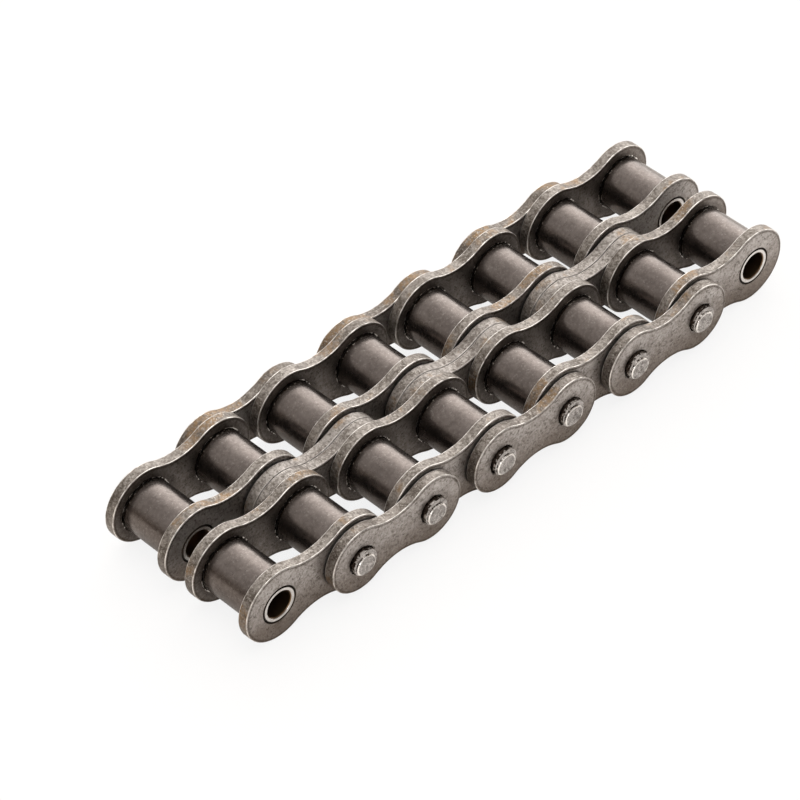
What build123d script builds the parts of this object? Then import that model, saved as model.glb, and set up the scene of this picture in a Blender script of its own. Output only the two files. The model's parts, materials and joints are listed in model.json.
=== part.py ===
from build123d import *
import os
from math import atan2, cos, sin

# A short length of riveted double strand (duplex) roller chain, lying straight with its plates on edge.
# X runs along the chain, Y along the pins and Z up. The origin is the middle of the length, on the
# pitch line that joins the pin axes. All sizes are in millimetres, for chain of 3/4 inch pitch.

# Chain sizes
pitch = 19.05
roller_diameter = 11.91
inner_width = 12.57
plate_thickness = 2.42
pin_diameter = 5.94
bush_diameter = 8.40
head_height = 1.30
joint_count = 8

# Link plates: a round end on each hole and a hollow waist between them, above and below. The end
# gap is what is left between the round ends of two plates that follow each other in a row.
inner_plate_end_gap = 2.05
inner_waist_depth = 2.25
outer_plate_end_gap = 3.85
outer_waist_depth = 2.45
plate_corner_radius = 0.28
bush_hole_break = 0.12
pin_hole_break = 0.30

# Running clearances on the radius, and side play at each face
pin_clearance = 0.04
roller_clearance = 0.05
roller_side_play = 0.10
outer_side_play = 0.20
centre_side_play = 0.245
centre_plate_gap = 0.04

# The roller links of both strands sit this far toward +Y in their play
link_drift = 0.12

# Chamfers on the turned pieces
bush_end_chamfer = 0.25
bush_mouth_chamfer = 0.24
roller_edge_chamfer = 0.35
roller_mouth_chamfer = 0.30
head_chamfer = 0.30

# Riveted pin heads: the punch leaves a round boss, low on the head, and a pressed crescent above it
boss_inset = 0.52
boss_drop = 0.60
boss_edge_break = 0.14
crescent_depth = 0.32

# Sizes that follow from the ones above
bush_bore = pin_diameter + 2 * pin_clearance
roller_bore = bush_diameter + 2 * roller_clearance
roller_length = inner_width - 2 * roller_side_play
roller_link_width = inner_width + 2 * plate_thickness
inner_plate_height = pitch - inner_plate_end_gap
outer_plate_height = pitch - outer_plate_end_gap
transverse_pitch = roller_link_width + 2 * (plate_thickness + centre_side_play) + centre_plate_gap
outer_plates_inside = transverse_pitch + roller_link_width + 2 * outer_side_play
pin_length = outer_plates_inside + 2 * plate_thickness + 2 * head_height

strand_middles = {"front": -transverse_pitch / 2 + link_drift, "back": transverse_pitch / 2 + link_drift}
roller_link_starts = range(1, joint_count, 2)
pin_link_starts = range(2, joint_count, 2)


def joint_x(joint):
    """Place along the chain of a joint's axis. Joints are counted from 1 at the -X end."""
    return (joint - (joint_count + 1) / 2) * pitch


def link_plate(first_joint, front_y, height, waist_depth, hole_diameter, hole_break):
    """An hourglass plate over two joints, from front_y back by its thickness, with rounded corners."""
    end_radius = height / 2
    half_waist = end_radius - waist_depth
    half_pitch = pitch / 2
    # The waist arc is tangent to both round ends
    waist_radius = (half_pitch**2 + half_waist**2 - end_radius**2) / (2 * waist_depth)
    tangent_angle = atan2(half_waist + waist_radius, half_pitch)
    tangent_x = half_pitch - end_radius * cos(tangent_angle)
    tangent_z = end_radius * sin(tangent_angle)
    top_left, top_right = (-tangent_x, tangent_z), (tangent_x, tangent_z)
    bottom_left, bottom_right = (-tangent_x, -tangent_z), (tangent_x, -tangent_z)

    front_face = Plane(
        origin=(joint_x(first_joint) + half_pitch, front_y, 0), x_dir=(1, 0, 0), z_dir=(0, -1, 0)
    )
    with BuildPart() as plate:
        with BuildSketch(front_face):
            with BuildLine():
                ThreePointArc(top_left, (-half_pitch - end_radius, 0), bottom_left)
                ThreePointArc(bottom_left, (0, -half_waist), bottom_right)
                ThreePointArc(bottom_right, (half_pitch + end_radius, 0), top_right)
                ThreePointArc(top_right, (0, half_waist), top_left)
            make_face()
            with GridLocations(pitch, 0, 2, 1):
                Circle(hole_diameter / 2, mode=Mode.SUBTRACT)
        extrude(amount=-plate_thickness)
        faces = plate.faces().filter_by(Axis.Y)
        rims = faces.edges().filter_by(lambda edge: not edge.is_closed)
        mouths = faces.edges().filter_by(lambda edge: edge.is_closed)
        fillet(rims, plate_corner_radius)
        chamfer(mouths, hole_break)
    return plate.part


def turned_rings(joints, middle_y, outside, bore, length, edge_chamfer, mouth_chamfer):
    """A ring turned about the axis of each of these joints, chamfered outside and in its mouths."""
    wall = (outside - bore) / 2
    with BuildPart() as rings:
        for joint in joints:
            centre = (joint_x(joint), middle_y, 0)
            with BuildSketch(Plane(origin=centre)):
                with Locations(((outside + bore) / 4, 0)):
                    Rectangle(wall, length)
                    chamfer(vertices().group_by(Axis.X)[-1], edge_chamfer)
                    chamfer(vertices().group_by(Axis.X)[0], mouth_chamfer)
            revolve(axis=Axis(centre, (0, 1, 0)))
    return rings.part


def riveted_pin(joint):
    """A pin right through both strands, with its two riveted heads."""
    with BuildPart() as pin:
        with BuildSketch(Plane(origin=(joint_x(joint), 0, 0), z_dir=(0, 1, 0))):
            Circle(pin_diameter / 2)
        extrude(amount=pin_length / 2, both=True)
        chamfer(pin.edges().filter_by(GeomType.CIRCLE), head_chamfer)
        for side in (-1, 1):
            head = Plane(
                origin=(joint_x(joint), side * pin_length / 2, 0), x_dir=(-side, 0, 0), z_dir=(0, side, 0)
            )
            with BuildSketch(head):
                Circle(pin_diameter / 2)
                with Locations((0, -boss_drop)):
                    Circle(pin_diameter / 2 - boss_inset, mode=Mode.SUBTRACT)
            extrude(amount=-crescent_depth, mode=Mode.SUBTRACT)
            head_arcs = pin.edges().group_by(Axis.Y)[-1 if side > 0 else 0]
            chamfer(head_arcs.sort_by(SortBy.RADIUS)[0], boss_edge_break)
    return pin.part


def write(name, part):
    """Label a finished piece and write it under its own name."""
    part.label = name
    export_step(part, f"parts/{name}.step")


os.makedirs("parts", exist_ok=True)

# Roller links, separate in each strand: two inner plates pressed onto two bushes, and two free rollers
for strand, middle_y in strand_middles.items():
    front_plate_y = middle_y - roller_link_width / 2
    back_plate_y = middle_y + inner_width / 2
    for link, joint in enumerate(roller_link_starts, start=1):
        for side, plate_y in (("front", front_plate_y), ("back", back_plate_y)):
            plate = link_plate(
                joint, plate_y, inner_plate_height, inner_waist_depth, bush_diameter, bush_hole_break
            )
            write(f"inner_plate_{strand}_strand_{link}_{side}", plate)
        bushes = turned_rings(
            (joint, joint + 1),
            middle_y,
            bush_diameter,
            bush_bore,
            roller_link_width,
            bush_end_chamfer,
            bush_mouth_chamfer,
        )
        write(f"bushes_{strand}_strand_{link}", bushes)
    for joint in range(1, joint_count + 1):
        roller = turned_rings(
            (joint,),
            middle_y,
            roller_diameter,
            roller_bore,
            roller_length,
            roller_edge_chamfer,
            roller_mouth_chamfer,
        )
        write(f"roller_{strand}_strand_{joint}", roller)

# Pin links, across both strands: two outer plates, two centre plates side by side, and two pins
pin_link_plate_fronts = {
    "outer_plate_front": -outer_plates_inside / 2 - plate_thickness,
    "centre_plate_front": -centre_plate_gap / 2 - plate_thickness,
    "centre_plate_back": centre_plate_gap / 2,
    "outer_plate_back": outer_plates_inside / 2,
}
for link, joint in enumerate(pin_link_starts, start=1):
    for name, plate_y in pin_link_plate_fronts.items():
        plate = link_plate(
            joint, plate_y, outer_plate_height, outer_waist_depth, pin_diameter, pin_hole_break
        )
        write(f"{name}_{link}", plate)
for joint in range(2, joint_count):
    write(f"pin_{joint}", riveted_pin(joint))
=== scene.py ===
import bpy
import json
from math import cos, radians, sin
from mathutils import Matrix, Vector


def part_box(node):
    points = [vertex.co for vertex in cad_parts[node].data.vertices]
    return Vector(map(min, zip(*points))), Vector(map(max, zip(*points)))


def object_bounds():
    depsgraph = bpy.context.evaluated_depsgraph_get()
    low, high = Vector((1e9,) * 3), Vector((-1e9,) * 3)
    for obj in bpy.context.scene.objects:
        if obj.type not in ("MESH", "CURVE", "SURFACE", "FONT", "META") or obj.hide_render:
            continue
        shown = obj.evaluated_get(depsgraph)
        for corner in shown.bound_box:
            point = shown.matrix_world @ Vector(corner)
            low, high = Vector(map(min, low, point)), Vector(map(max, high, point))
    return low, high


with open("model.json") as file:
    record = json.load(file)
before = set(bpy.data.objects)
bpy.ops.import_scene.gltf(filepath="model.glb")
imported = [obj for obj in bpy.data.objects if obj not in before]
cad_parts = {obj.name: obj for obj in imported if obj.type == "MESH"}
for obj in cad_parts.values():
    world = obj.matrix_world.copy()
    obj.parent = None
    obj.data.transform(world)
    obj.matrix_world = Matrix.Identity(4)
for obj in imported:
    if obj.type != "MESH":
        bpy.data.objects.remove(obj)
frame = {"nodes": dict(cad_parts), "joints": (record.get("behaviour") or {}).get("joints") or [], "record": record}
cad_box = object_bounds()
bpy.ops.object.select_all(action="DESELECT")


# Bushes: plain turned tubes of hardened steel, pressed into the inner plates of each roller link.
# Only their ends show. They are ground bright, with a dark seam round them in the plate, and the
# bore inside is dark with old oil.

mm = 0.001


def put(tree, kind, settings=None, **inputs):
    """Adds a node to a tree, sets its own settings and feeds its named inputs."""
    node = tree.nodes.new(kind)
    for name, value in (settings or {}).items():
        setattr(node, name, value)
    for name, value in inputs.items():
        feed(tree, node.inputs[name.replace("_", " ")], value)
    return node


def feed(tree, socket, value):
    """Links an input to an output, or sets it to a plain value."""
    if isinstance(value, bpy.types.NodeSocket):
        tree.links.new(value, socket)
    else:
        socket.default_value = value


def reckon(tree, operation, first, second=0.0):
    """The result of a Math node."""
    node = put(tree, "ShaderNodeMath", {"operation": operation})
    feed(tree, node.inputs[0], first)
    feed(tree, node.inputs[1], second)
    return node.outputs[0]


def plus(tree, first, second):
    """The sum of two numbers."""
    return reckon(tree, "ADD", first, second)


def minus(tree, first, second):
    """The first number less the second."""
    return reckon(tree, "SUBTRACT", first, second)


def times(tree, first, second):
    """The product of two numbers."""
    return reckon(tree, "MULTIPLY", first, second)


def diagonal(tree, first, second):
    """The length of a diagonal from its two sides."""
    squares = plus(tree, times(tree, first, first), times(tree, second, second))
    return reckon(tree, "SQRT", squares)


def rise(tree, value, low, high):
    """A mask that goes smoothly from 0 at low to 1 at high. Where low is the larger, it falls instead."""
    node = put(
        tree,
        "ShaderNodeMapRange",
        {"interpolation_type": "SMOOTHSTEP"},
        Value=value,
        From_Min=low,
        From_Max=high,
    )
    return node.outputs["Result"]


def band(tree, value, start, full, fading, end):
    """A mask that is 1 from full to fading, and passes smoothly to 0 at start and at end."""
    return times(tree, rise(tree, value, start, full), rise(tree, value, end, fading))


# A Mix node has its factor at 0, and the two values that it mixes at places that depend on their kind

def tint(tree, mask, first, second):
    """The first colour where the mask is 0, passing into the second where it is 1."""
    node = put(tree, "ShaderNodeMix", {"data_type": "RGBA"})
    for index, value in ((0, mask), (6, first), (7, second)):
        feed(tree, node.inputs[index], value)
    return node.outputs[2]


def level(tree, mask, first, second):
    """The first number where the mask is 0, passing into the second where it is 1."""
    node = put(tree, "ShaderNodeMix", {"data_type": "FLOAT"})
    for index, value in ((0, mask), (2, first), (3, second)):
        feed(tree, node.inputs[index], value)
    return node.outputs[0]


def cloud(tree, place, scale, detail=2.0, roughness=0.5):
    """Noise about 0.5, with its scale in patches to the millimetre."""
    node = put(
        tree, "ShaderNodeTexNoise", Vector=place, Scale=scale, Detail=detail, Roughness=roughness
    )
    return node.outputs["Fac"]


def stretch(tree, place, along):
    """The place with its three lengths multiplied, for a pattern that is longer one way."""
    node = put(tree, "ShaderNodeVectorMath", {"operation": "MULTIPLY"})
    feed(tree, node.inputs[0], place)
    feed(tree, node.inputs[1], along)
    return node.outputs[0]


def new_group(name, inputs, outputs):
    """A shader node group with these sockets: its tree, what comes in and where its results go."""
    tree = bpy.data.node_groups.new(name, "ShaderNodeTree")
    for socket, kind in inputs.items():
        tree.interface.new_socket(socket, in_out="INPUT", socket_type=f"NodeSocket{kind}")
    for socket, kind in outputs.items():
        tree.interface.new_socket(socket, in_out="OUTPUT", socket_type=f"NodeSocket{kind}")
    return tree, tree.nodes.new("NodeGroupInput").outputs, tree.nodes.new("NodeGroupOutput").inputs


def use_group(tree, name, **inputs):
    """Places a node group in a material and gives its outputs."""
    return put(tree, "ShaderNodeGroup", {"node_tree": bpy.data.node_groups[name]}, **inputs).outputs


def new_steel(name):
    """A new metal material: itself, its node tree and its shader."""
    material = bpy.data.materials.new(name)
    material.use_nodes = True
    tree = material.node_tree
    return material, tree, tree.nodes["Principled BSDF"]


def dress(material, name_start):
    """Gives the material to every CAD node whose name starts so."""
    for name, piece in frame["nodes"].items():
        if name.startswith(name_start):
            piece.data.materials.clear()
            piece.data.materials.append(material)


def size_mm(node):
    """How long, deep and high a CAD node is, in millimetres."""
    low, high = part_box(node)
    return (high - low) / mm


joint_places = {joint["name"]: Vector(joint["pos_m"]) / mm for joint in frame["joints"]}
first_joint_mm = joint_places["spin_roller_front_1"]
pitch_mm = joint_places["spin_roller_front_2"].x - first_joint_mm.x
back_middle_mm = joint_places["spin_roller_back_1"].y
drift_mm = (first_joint_mm.y + back_middle_mm) / 2
half_transverse_mm = (back_middle_mm - first_joint_mm.y) / 2

# Where a point lies on the chain: its place, how far it is along the chain from the nearest joint,
# how high, how far from that joint's axis, and how far across from the middle of its strand, all in
# millimetres. Back tells how squarely the surface faces along the pins, from -1 toward -Y to 1
# toward +Y, and Sideways is 1 on both of those faces and 0 on a rim.
tree, _, result = new_group(
    "place on chain",
    {},
    {
        "Place": "Vector",
        "Along": "Float",
        "Height": "Float",
        "Radius": "Float",
        "Across": "Float",
        "Back": "Float",
        "Sideways": "Float",
    },
)
coordinates = put(tree, "ShaderNodeTexCoord")
place = put(tree, "ShaderNodeVectorMath", {"operation": "SCALE"}, Scale=1 / mm)
feed(tree, place.inputs[0], coordinates.outputs["Object"])
spot = put(tree, "ShaderNodeSeparateXYZ", Vector=place.outputs[0]).outputs
facing = put(tree, "ShaderNodeSeparateXYZ", Vector=coordinates.outputs["Normal"]).outputs
from_link_end = minus(tree, spot["X"], first_joint_mm.x - pitch_mm / 2)
along = minus(tree, reckon(tree, "FLOORED_MODULO", from_link_end, pitch_mm), pitch_mm / 2)
from_centre = reckon(tree, "ABSOLUTE", minus(tree, spot["Y"], drift_mm))
feed(tree, result["Place"], place.outputs[0])
feed(tree, result["Along"], along)
feed(tree, result["Height"], spot["Z"])
feed(tree, result["Radius"], diagonal(tree, along, spot["Z"]))
feed(tree, result["Across"], reckon(tree, "ABSOLUTE", minus(tree, from_centre, half_transverse_mm)))
feed(tree, result["Back"], facing["Y"])
feed(tree, result["Sideways"], reckon(tree, "ABSOLUTE", facing["Y"]))

# Uneven heat treatment: soft clouds of a darker and a lighter steel, with a finer grain in them
tree, given, result = new_group(
    "uneven steel",
    {"Place": "Vector", "Scale": "Float", "Dark": "Color", "Light": "Color"},
    {"Color": "Color", "Cloud": "Float"},
)
soft_share, fine_share = 0.42, 0.58
soft = cloud(tree, given["Place"], given["Scale"], detail=3.0, roughness=0.6)
fine = cloud(tree, given["Place"], times(tree, given["Scale"], 6.0), detail=3.0, roughness=0.65)
both = plus(tree, times(tree, soft, soft_share), times(tree, fine, fine_share))
mixed = rise(tree, both, 0.36, 0.64)
feed(tree, result["Cloud"], mixed)
feed(tree, result["Color"], tint(tree, mixed, given["Dark"], given["Light"]))

bore_radius_mm = frame["record"]["mounts"][0]["dims"]["r_mm"]
bush_radius_mm = size_mm("bushes_front_strand_1").z / 2
dull_ground, bright_ground = (0.52, 0.505, 0.49, 1), (0.78, 0.765, 0.75, 1)
bush_seam_dirt = (0.022, 0.016, 0.012, 1)
bore_oil = (0.18, 0.118, 0.070, 1)
ground_rough, bore_rough = 0.24, 0.38

bush_steel, tree, shader = new_steel("bush steel")
surface = use_group(tree, "place on chain")
ground = use_group(
    tree, "uneven steel", Place=surface["Place"], Scale=0.7, Dark=dull_ground, Light=bright_ground
)
from_outside = minus(tree, bush_radius_mm, surface["Radius"])
from_bore = minus(tree, surface["Radius"], bore_radius_mm)
in_seam = rise(tree, from_outside, 0.45, 0.35)
in_bore = rise(tree, from_bore, 0.20, 0.12)
colour = tint(tree, in_seam, ground["Color"], bush_seam_dirt)
feed(tree, shader.inputs["Base Color"], tint(tree, in_bore, colour, bore_oil))
feed(tree, shader.inputs["Roughness"], level(tree, in_bore, ground_rough, bore_rough))
shader.inputs["Metallic"].default_value = 1.0
dress(bush_steel, "bushes")


# Rollers: turned and hardened tubes of smooth dark steel, free on the bushes, with a film of oil. The
# turning left very fine rings round them, and at both of their ends, against the plates, a dark band of
# oil and painted shade carries a few painted glints.

roller_size_mm = size_mm("roller_front_strand_1")
half_roller_mm = roller_size_mm.y / 2
roller_radius_mm = roller_size_mm.z / 2
dark_roller, light_roller = (0.103, 0.086, 0.077, 1), (0.145, 0.123, 0.111, 1)
# The dark band at a roller's ends is oil and painted shade, and its glints are painted highlights
roller_end_oil_and_shade = (0.036, 0.023, 0.013, 1)
painted_roller_glint = (0.70, 0.66, 0.60, 1)
dust_grey, dust_share = (0.34, 0.315, 0.29, 1), 0.35
ring_grain, ring_depth = (0.02, 6.0, 0.02), 0.001 * mm
clean_rough, smeared_rough = 0.22, 0.30
roller_metal = 0.95

roller_steel, tree, shader = new_steel("roller steel")
surface = use_group(tree, "place on chain")
place = surface["Place"]
turned = use_group(tree, "uneven steel", Place=place, Scale=0.22, Dark=dark_roller, Light=light_roller)
# A dark band of oil and painted shade at each end, with painted glints broken up in it
from_end = minus(tree, half_roller_mm, surface["Across"])
at_end = rise(tree, from_end, 0.58, 0.48)
painted_glints = times(tree, at_end, rise(tree, cloud(tree, place, 1.7), 0.56, 0.64))
dust = times(tree, rise(tree, cloud(tree, place, 2.2, detail=3.0, roughness=0.6), 0.56, 0.72), dust_share)
colour = tint(tree, at_end, turned["Color"], roller_end_oil_and_shade)
colour = tint(tree, painted_glints, colour, painted_roller_glint)
feed(tree, shader.inputs["Base Color"], tint(tree, dust, colour, dust_grey))
smears = rise(tree, cloud(tree, place, 0.5, detail=4.0, roughness=0.6), 0.3, 0.7)
feed(tree, shader.inputs["Roughness"], level(tree, smears, clean_rough, smeared_rough))
shader.inputs["Metallic"].default_value = roller_metal
rings = cloud(tree, stretch(tree, place, ring_grain), 1.0, roughness=0.7)
bump = put(tree, "ShaderNodeBump", Height=rings, Strength=1.0, Distance=ring_depth)
feed(tree, shader.inputs["Normal"], bump.outputs["Normal"])
dress(roller_steel, "roller")


# Inner plates: blanked from strip, hardened and pressed onto the bushes. The cut rims are pitted by
# the punch and stained with rust, the corners are worn bright, and a ring of oil and painted shade, with
# painted glints, stands round each roller's end. Painted shade darkens their faces round that ring,
# toward the lower edge and beside the corners.

# Grit of the punch: small dark pits and bright flecks, longer through the plate than along its rim
tree, given, result = new_group(
    "punch grit",
    {"Place": "Vector", "Scale": "Float"},
    {"Pits": "Float", "Flecks": "Float"},
)
drawn_out = stretch(tree, given["Place"], (1.0, 0.7, 1.0))
pit_grains = cloud(tree, drawn_out, given["Scale"], detail=5.0, roughness=0.68)
fleck_grains = cloud(tree, drawn_out, times(tree, given["Scale"], 2.3), detail=3.0, roughness=0.65)
feed(tree, result["Pits"], rise(tree, pit_grains, 0.51, 0.64))
feed(tree, result["Flecks"], rise(tree, fleck_grains, 0.55, 0.67))

# Rust stain: warm patches where a wide cloud passes the threshold, thin and broken up by the grain
tree, given, result = new_group(
    "rust stain",
    {"Place": "Vector", "Threshold": "Float"},
    {"Stain": "Float"},
)
wide = cloud(tree, given["Place"], 0.13, detail=4.0, roughness=0.6)
patches = rise(tree, wide, given["Threshold"], plus(tree, given["Threshold"], 0.10))
grain = rise(tree, cloud(tree, given["Place"], 1.2, detail=3.0, roughness=0.65), 0.28, 0.60)
feed(tree, result["Stain"], times(tree, patches, grain))

# Worn corner: the rounded edge between rim and face, bright where it has been rubbed
tree, given, result = new_group(
    "worn corner",
    {"Place": "Vector", "Sideways": "Float"},
    {"Corner": "Float", "Rim": "Float"},
)
on_corner = band(tree, given["Sideways"], 0.10, 0.28, 0.66, 0.84)
worn_patches = rise(tree, cloud(tree, given["Place"], 0.45, detail=4.0, roughness=0.65), 0.38, 0.60)
feed(tree, result["Corner"], times(tree, on_corner, level(tree, worn_patches, 0.20, 1.0)))
feed(tree, result["Rim"], rise(tree, given["Sideways"], 0.75, 0.45))

# Oil ring: a wet band of oil and painted shade between two distances from the joint's axis, with an
# uneven outer edge, beads in it, broken painted glints along its inner edge and painted shade that thins
# out round it
tree, given, result = new_group(
    "oil and shade ring",
    {"Place": "Vector", "Radius": "Float", "Start": "Float", "End": "Float"},
    {"Oil And Shade": "Float", "Beads": "Float", "Painted Glints": "Float", "Ring Shade": "Float"},
)
unevenness_mm = 0.9
waves = times(tree, minus(tree, cloud(tree, given["Place"], 0.8), 0.5), unevenness_mm)
past_start = minus(tree, given["Radius"], given["Start"])
past_end = minus(tree, plus(tree, given["Radius"], waves), given["End"])
oil_and_shade = times(tree, rise(tree, past_start, -0.05, 0.0), rise(tree, past_end, 0.0, -0.35))
beads = cloud(tree, given["Place"], 2.6, roughness=0.6)
broken = rise(tree, cloud(tree, given["Place"], 1.2, detail=1.0), 0.50, 0.56)
feed(tree, result["Oil And Shade"], oil_and_shade)
feed(tree, result["Beads"], times(tree, oil_and_shade, beads))
feed(tree, result["Painted Glints"], times(tree, band(tree, past_start, 0.10, 0.16, 0.32, 0.40), broken))
feed(tree, result["Ring Shade"], rise(tree, past_end, 2.4, 0.0))

# How far inside its outline a point of a plate's face lies. The outline is the round end on each hole
# of the link, and a waist arc about a point above or below the link's middle.
tree, given, result = new_group(
    "inside outline",
    {"Place": "Vector", "Middle": "Float", "End": "Float", "Above": "Float", "Waist": "Float"},
    {"Inset": "Float"},
)
spot = put(tree, "ShaderNodeSeparateXYZ", Vector=given["Place"]).outputs
from_middle = plus(tree, minus(tree, spot["X"], given["Middle"]), pitch_mm)
from_middle = minus(tree, reckon(tree, "FLOORED_MODULO", from_middle, 2 * pitch_mm), pitch_mm)
from_middle = reckon(tree, "ABSOLUTE", from_middle)
high = reckon(tree, "ABSOLUTE", spot["Z"])
from_hole = diagonal(tree, minus(tree, from_middle, pitch_mm / 2), high)
from_above = diagonal(tree, from_middle, minus(tree, high, given["Above"]))
toward_hole = reckon(tree, "DIVIDE", from_middle, pitch_mm / 2)
toward_above = reckon(tree, "DIVIDE", high, given["Above"])
inset = level(
    tree,
    reckon(tree, "GREATER_THAN", plus(tree, toward_hole, toward_above), 1.0),
    minus(tree, from_above, given["Waist"]),
    minus(tree, given["End"], from_hole),
)
feed(tree, result["Inset"], inset)


def outline_of(node, waist_depth_mm):
    """The sizes of a plate's outline, in millimetres, from its box and the depth of its waist."""
    low, high = (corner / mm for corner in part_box(node))
    end = (high.z - low.z) / 2
    half_waist = end - waist_depth_mm
    waist = ((pitch_mm / 2) ** 2 + half_waist**2 - end**2) / (2 * waist_depth_mm)
    return {"Middle": (low.x + high.x) / 2, "End": end, "Above": half_waist + waist, "Waist": waist}


dark_face, light_face = (0.283, 0.258, 0.241, 1), (0.487, 0.463, 0.453, 1)
# Painted shade that darkens the faces toward the lower edge
painted_shade_brown = (0.113, 0.079, 0.055, 1)
# Painted shade round the oil ring
painted_ring_shade = (0.060, 0.047, 0.038, 1)
# Painted shade in a line beside each corner
painted_corner_shade = (0.050, 0.033, 0.020, 1)
rust_brown, rust_share = (0.182, 0.108, 0.047, 1), 0.85
no_rust_threshold, rust_step = 0.61, 0.15
pit_dirt, pits_on_face, pits_on_rim = (0.066, 0.052, 0.040, 1), 0.72, 0.80
fleck_steel, flecks_on_face, flecks_on_rim = (0.62, 0.58, 0.52, 1), 0.26, 0.45
rubbed_steel = (0.92, 0.88, 0.825, 1)
plate_seam_oil = (0.030, 0.020, 0.012, 1)
# The wet ring is oil and painted shade
wet_oil_and_shade = (0.020, 0.012, 0.006, 1)
# Painted highlights for the glints in the wet ring
painted_oil_glint = (0.90, 0.87, 0.83, 1)
# Painted shade darkens the faces from the first height down to the second, at most by the share
lower_shade_top_mm, lower_shade_full_mm, lower_shade_share = 6.0, -7.0, 0.74
dark_face_rough, light_face_rough, rim_rough, corner_rough, oil_rough = 0.46, 0.36, 0.48, 0.34, 0.12
face_metal, rim_metal = 0.95, 0.68
seam_blur_mm = 0.04
pit_height, relief_depth = -0.5, 0.03 * mm


def face_of_plate(tree, place, steel, outline, painted_shade, ring_shade):
    """Colour of a plate's faces: tumbled steel under painted shade, more painted shade round the oil ring,
    and a line of painted shade beside the corner, fainter where the steel is light."""
    colour = tint(tree, painted_shade, steel["Color"], painted_shade_brown)
    colour = tint(tree, ring_shade, colour, painted_ring_shade)
    inset = use_group(tree, "inside outline", Place=place, **outline)["Inset"]
    # A line of painted shade just inside the outline, beside the corner
    beside_corner = band(tree, inset, 0.24, 0.34, 0.45, 0.85)
    corner_shade_line = times(tree, beside_corner, level(tree, steel["Cloud"], 0.88, 0.55))
    return tint(tree, corner_shade_line, colour, painted_corner_shade)


def plate_steel(name, outline, rims, ring, ring_side, seam, rust, worn=1.0, ring_shade_share=0.2, ring_face_shade=None):
    """Steel of a blanked plate with this outline. rims are the dark and the light colour of its rims.
    ring is where its ring of oil and painted shade starts and ends, and ring_side the face that has one,
    1 toward +Y and -1 toward -Y. seam is the radius of the dark seam round what is pressed into its holes.
    rust and worn say how rusty its rims are and how bright its corners, and the next argument how much
    painted shade lies round the ring. Painted shade also darkens the faces toward the lower edge, or, where
    the last argument is given, lies evenly over the ring's face in that share."""
    material, tree, shader = new_steel(name)
    surface = use_group(tree, "place on chain")
    place = surface["Place"]
    face = use_group(tree, "uneven steel", Place=place, Scale=0.35, Dark=dark_face, Light=light_face)
    rim = use_group(tree, "uneven steel", Place=place, Scale=0.26, Dark=rims[0], Light=rims[1])
    wear = use_group(tree, "worn corner", Place=place, Sideways=surface["Sideways"])
    grit = use_group(tree, "punch grit", Place=place, Scale=1.4)
    threshold = no_rust_threshold - rust_step * rust
    stain = use_group(tree, "rust stain", Place=place, Threshold=threshold)["Stain"]
    oil_and_shade = use_group(tree, "oil and shade ring", Place=place, Radius=surface["Radius"], Start=ring[0], End=ring[1])
    ring_face = rise(tree, times(tree, surface["Back"], ring_side), 0.4, 0.6)
    # From the ring: oil and painted shade, beads, painted glints, and painted shade round the ring
    wet_and_shaded, beads, painted_glints, ring_shade = (
        times(tree, oil_and_shade[part], ring_face) for part in ("Oil And Shade", "Beads", "Painted Glints", "Ring Shade")
    )
    # Painted shade toward the lower edge, or evenly over the ring's face
    painted_shade = times(tree, rise(tree, surface["Height"], lower_shade_top_mm, lower_shade_full_mm), lower_shade_share)
    if ring_face_shade is not None:
        painted_shade = level(tree, ring_face, painted_shade, ring_face_shade)

    face_colour = face_of_plate(tree, place, face, outline, painted_shade, times(tree, ring_shade, ring_shade_share))
    colour = tint(tree, wear["Rim"], face_colour, rim["Color"])
    for mask, mark in (
        (times(tree, times(tree, stain, wear["Rim"]), rust_share), rust_brown),
        (times(tree, grit["Pits"], level(tree, wear["Rim"], pits_on_face, pits_on_rim)), pit_dirt),
        (times(tree, grit["Flecks"], level(tree, wear["Rim"], flecks_on_face, flecks_on_rim)), fleck_steel),
        (times(tree, wear["Corner"], worn), rubbed_steel),
        (rise(tree, surface["Radius"], seam + seam_blur_mm, seam - seam_blur_mm), plate_seam_oil),
        (wet_and_shaded, wet_oil_and_shade),
        (painted_glints, painted_oil_glint),
    ):
        colour = tint(tree, mask, colour, mark)
    feed(tree, shader.inputs["Base Color"], colour)

    face_rough = level(tree, face["Cloud"], dark_face_rough, light_face_rough)
    dry_rough = level(tree, wear["Corner"], level(tree, wear["Rim"], face_rough, rim_rough), corner_rough)
    feed(tree, shader.inputs["Roughness"], level(tree, wet_and_shaded, dry_rough, oil_rough))
    feed(tree, shader.inputs["Metallic"], level(tree, wear["Rim"], face_metal, rim_metal))
    relief = plus(tree, times(tree, grit["Pits"], pit_height), beads)
    bump = put(tree, "ShaderNodeBump", Height=relief, Strength=1.0, Distance=relief_depth)
    feed(tree, shader.inputs["Normal"], bump.outputs["Normal"])
    return material


inner_waist_depth_mm = 2.25
inner_outline = outline_of("inner_plate_front_strand_1_front", inner_waist_depth_mm)
inner_rims = ((0.078, 0.061, 0.047, 1), (0.288, 0.258, 0.230, 1))
roller_ring = (roller_radius_mm - 0.05, roller_radius_mm + 0.45)
for side, ring_side in (("front", 1), ("back", -1)):
    inner_steel = plate_steel(
        f"inner plate steel {side}",
        inner_outline,
        inner_rims,
        roller_ring,
        ring_side,
        seam=bush_radius_mm + 0.12,
        rust=0.5,
        ring_shade_share=0.6,
        ring_face_shade=0.42,
    )
    for strand in ("front", "back"):
        for link in range(1, 5):
            dress(inner_steel, f"inner_plate_{strand}_strand_{link}_{side}")


# Pins: ground bar through both strands, hardened, with both ends riveted over the outer plates. The
# heads are rubbed bright round their edges and bosses, the punch left dark dents in them, and oil
# lies on their sides, with painted glints near the head.

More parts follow.
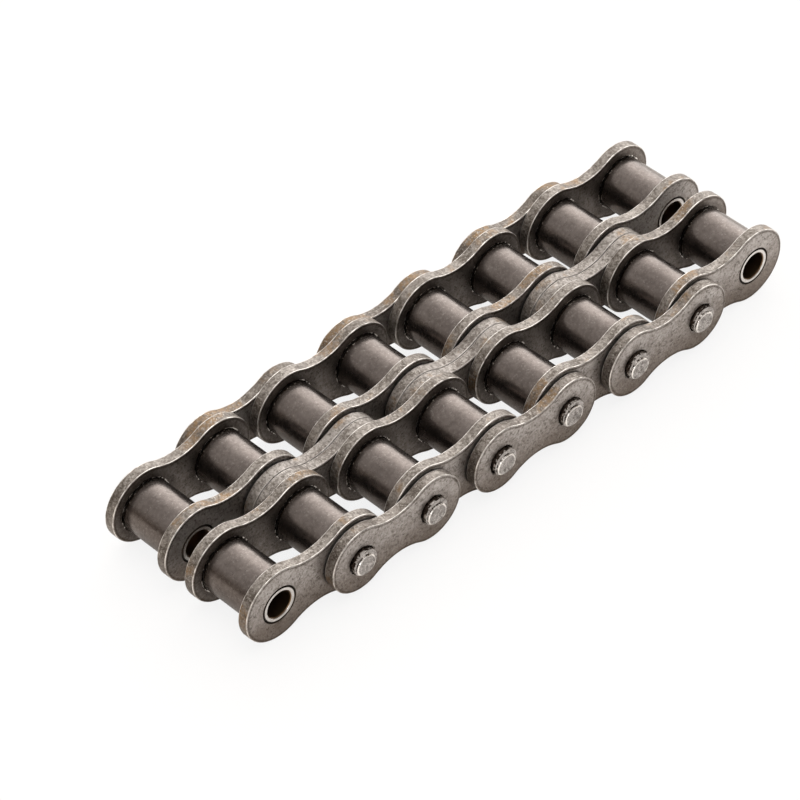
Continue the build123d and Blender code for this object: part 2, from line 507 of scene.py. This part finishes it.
pin_size_mm = size_mm("pin_2")
pin_radius_mm = pin_size_mm.z / 2
pin_end_mm = pin_size_mm.y / 2 - half_transverse_mm
boss_inset_mm, boss_drop_mm = 0.52, 0.60
boss_radius_mm = pin_radius_mm - boss_inset_mm
dull_head, bright_head = (0.19, 0.177, 0.168, 1), (0.56, 0.54, 0.527, 1)
dent_dirt, dent_share = (0.09, 0.073, 0.062, 1), 0.70
rubbed_head = (0.98, 0.955, 0.925, 1)
# The pins' sides are dark with oil, and their glints are painted highlights
pin_side, painted_side_glint = (0.070, 0.053, 0.042, 1), (0.93, 0.90, 0.86, 1)
dull_rough, bright_rough = 0.28, 0.18
dent_depth = 0.02 * mm

pin_steel, tree, shader = new_steel("pin steel")
surface = use_group(tree, "place on chain")
place = surface["Place"]
head = use_group(tree, "uneven steel", Place=place, Scale=0.8, Dark=dull_head, Light=bright_head)
dents = use_group(tree, "punch grit", Place=place, Scale=1.4)["Pits"]
from_boss = diagonal(tree, surface["Along"], plus(tree, surface["Height"], boss_drop_mm))
boss_rim = band(tree, minus(tree, from_boss, boss_radius_mm), -0.40, -0.22, 0.0, 0.04)
rubbed = level(tree, rise(tree, cloud(tree, place, 0.8), 0.40, 0.58), 0.35, 1.0)
near_head = rise(tree, minus(tree, pin_end_mm, surface["Across"]), 0.80, 0.55)
# Painted glints on the sides near the head
painted_glints = times(tree, rise(tree, cloud(tree, place, 1.5, detail=1.0), 0.49, 0.55), near_head)
colour = tint(tree, times(tree, dents, dent_share), head["Color"], dent_dirt)
colour = tint(tree, rise(tree, surface["Sideways"], 0.97, 0.85), colour, rubbed_head)
colour = tint(tree, times(tree, boss_rim, rubbed), colour, rubbed_head)
side_colour = tint(tree, painted_glints, pin_side, painted_side_glint)
colour = tint(tree, rise(tree, surface["Sideways"], 0.40, 0.20), colour, side_colour)
feed(tree, shader.inputs["Base Color"], colour)
feed(tree, shader.inputs["Roughness"], level(tree, head["Cloud"], dull_rough, bright_rough))
shader.inputs["Metallic"].default_value = 1.0
bump = put(tree, "ShaderNodeBump", Height=times(tree, dents, -1.0), Strength=1.0, Distance=dent_depth)
feed(tree, shader.inputs["Normal"], bump.outputs["Normal"])
dress(pin_steel, "pin")


# Centre plates: blanked from strip, two side by side between the strands in each pin link, on the
# pins' middles. They have the lightest rims of all.

outer_waist_depth_mm = 2.45
outer_outline = outline_of("outer_plate_front_1", outer_waist_depth_mm)
centre_rims = ((0.110, 0.091, 0.076, 1), (0.332, 0.302, 0.276, 1))
pin_ring = (pin_radius_mm - 0.05, pin_radius_mm + 0.52)
pin_seam_mm = pin_radius_mm + 0.20
centre_steel = plate_steel(
    "centre plate steel",
    outer_outline,
    centre_rims,
    pin_ring,
    ring_side=1,
    seam=pin_seam_mm,
    rust=0.45,
    worn=0.35,
)
dress(centre_steel, "centre_plate")


# Outer plates: the front and back of each pin link, blanked as the others are, pressed on the pins and
# riveted. Their faces are tumbled to a mid grey and darkened by painted shade toward the lower edge, with a
# ring of oil and painted shade round each pin, and the back ones have the most rust on their rims.

outer_rims = ((0.072, 0.055, 0.042, 1), (0.247, 0.218, 0.192, 1))
for side, ring_side, rust in (("front", -1, 0.30), ("back", 1, 1.35)):
    outer_steel = plate_steel(
        f"outer plate steel {side}",
        outer_outline,
        outer_rims,
        pin_ring,
        ring_side,
        seam=pin_seam_mm,
        rust=rust,
    )
    dress(outer_steel, f"outer_plate_{side}")


# Floor: a wide sheet of pale paper under the chain, which takes its soft shadow. The steel mirrors
# some of it as a warm white, and the camera sees through most of it to the white room, so that
# links which curl below it still show.

floor_size = 6.0
matt_paper = (0.83, 0.80, 0.765, 1)
paper_in_steel, in_steel_share = (1.0, 0.94, 0.88, 1), 0.20
see_through_share = 0.86
white = (1.0, 1.0, 1.0, 1)


def seen_directly(tree):
    """1 where the camera looks at a surface itself or through glass, and 0 for light and reflections."""
    path = put(tree, "ShaderNodeLightPath").outputs
    return reckon(tree, "MAXIMUM", path["Is Camera Ray"], path["Is Transmission Ray"])


def shade(tree, share, first, second):
    """The first shader where the share is 0, passing into the second where it is 1."""
    node = put(tree, "ShaderNodeMixShader")
    for index, value in enumerate((share, first, second)):
        feed(tree, node.inputs[index], value)
    return node.outputs[0]


bpy.ops.mesh.primitive_plane_add(size=floor_size, location=(0, 0, cad_box[0].z))
floor = bpy.context.object
floor.name = "floor"
paper = bpy.data.materials.new("white paper")
paper.use_nodes = True
tree = paper.node_tree
tree.nodes.clear()
matt = put(tree, "ShaderNodeBsdfDiffuse", Color=matt_paper).outputs[0]
glow = put(tree, "ShaderNodeEmission", Color=paper_in_steel, Strength=1.0).outputs[0]
clear = put(tree, "ShaderNodeBsdfTransparent", Color=white).outputs[0]
in_steel = put(tree, "ShaderNodeLightPath").outputs["Is Glossy Ray"]
sheet = shade(tree, times(tree, in_steel, in_steel_share), matt, glow)
sheet = shade(tree, times(tree, seen_directly(tree), see_through_share), sheet, clear)
feed(tree, put(tree, "ShaderNodeOutputMaterial").inputs["Surface"], sheet)
floor.data.materials.append(paper)


# Light: a room that is pale overhead and dim and warm at the horizon, most of all on the camera's
# side, and alike below the floor. It has a soft bright patch straight above and a wide one at the
# back right, and a weak box stands at the left.

back_horizon, back_sky = (0.245, 0.185, 0.135, 1), (1.03, 1.0, 0.98, 1)
front_horizon, front_sky = (0.105, 0.070, 0.042, 1), (0.985, 0.955, 0.935, 1)
overhead, overhead_edge, overhead_strength = Vector((0.0, 0.0, 1.0)), 0.80, 2.2
back_right, back_right_edge, back_right_strength = Vector((0.80, 0.50, 0.33)), 0.50, 3.5
lamp_direction, lamp_distance = Vector((-0.55, -0.75, 0.30)), 0.90
lamp_size, lamp_watts = 0.35, 0.9

room = bpy.data.worlds.new("pale room")
bpy.context.scene.world = room
room.use_nodes = True
tree = room.node_tree
tree.nodes.clear()
toward = put(tree, "ShaderNodeTexCoord").outputs["Generated"]
split_toward = put(tree, "ShaderNodeSeparateXYZ", Vector=toward).outputs


def bright_patch(direction, edge, strength):
    """Light from round one direction of the room, fading out where the cosine to it falls to edge."""
    nearness = put(tree, "ShaderNodeVectorMath", {"operation": "DOT_PRODUCT"})
    feed(tree, nearness.inputs[0], toward)
    feed(tree, nearness.inputs[1], direction.normalized())
    past_edge = reckon(tree, "MAXIMUM", minus(tree, nearness.outputs["Value"], edge), 0.0)
    faded = reckon(tree, "POWER", reckon(tree, "DIVIDE", past_edge, 1.0 - edge), 2.0)
    return times(tree, faded, strength)


from_horizon = reckon(tree, "ABSOLUTE", split_toward["Z"])
back_wall = tint(tree, rise(tree, from_horizon, 0.0, 0.65), back_horizon, back_sky)
front_wall = tint(tree, rise(tree, from_horizon, 0.3, 0.95), front_horizon, front_sky)
wall = tint(tree, rise(tree, split_toward["Y"], -0.35, 0.25), front_wall, back_wall)
patches = plus(
    tree,
    bright_patch(overhead, overhead_edge, overhead_strength),
    bright_patch(back_right, back_right_edge, back_right_strength),
)
lit_wall = put(tree, "ShaderNodeVectorMath", {"operation": "ADD"})
feed(tree, lit_wall.inputs[0], wall)
feed(tree, lit_wall.inputs[1], patches)
backdrop = tint(tree, seen_directly(tree), lit_wall.outputs[0], white)
background = put(tree, "ShaderNodeBackground", Color=backdrop, Strength=1.0)
feed(tree, put(tree, "ShaderNodeOutputWorld").inputs["Surface"], background.outputs[0])

bpy.ops.object.light_add(type="AREA", location=lamp_direction.normalized() * lamp_distance)
lamp = bpy.context.object
lamp.name = "left soft box"
lamp.data.size = lamp_size
lamp.data.energy = lamp_watts
lamp.rotation_euler = lamp.location.to_track_quat("Z", "Y").to_euler()


# Camera: a long lens at the photograph's viewing angle, rolled a little. It looks at a point beside the
# chain's middle, from far enough away for the whole length to be in view.

aim = Vector((-0.01181, 0.003513, 0.0))
azimuth, elevation, roll = radians(-43.432), radians(43.954), radians(-1.459)
distance = 0.79901
lens = 181.13
far_clip = 20.0

back = Vector((sin(azimuth) * cos(elevation), -cos(azimuth) * cos(elevation), sin(elevation)))
level_right = Vector((cos(azimuth), sin(azimuth), 0.0))
level_up = back.cross(level_right)
right = cos(roll) * level_right + sin(roll) * level_up
up = cos(roll) * level_up - sin(roll) * level_right
turn = Matrix((right, up, back)).transposed().to_4x4()
bpy.ops.object.camera_add()
camera = bpy.context.object
camera.matrix_world = Matrix.Translation(aim + distance * back) @ turn
camera.data.lens = lens
camera.data.clip_end = far_clip
bpy.context.scene.camera = camera
bpy.context.scene.view_settings.view_transform = "Standard"
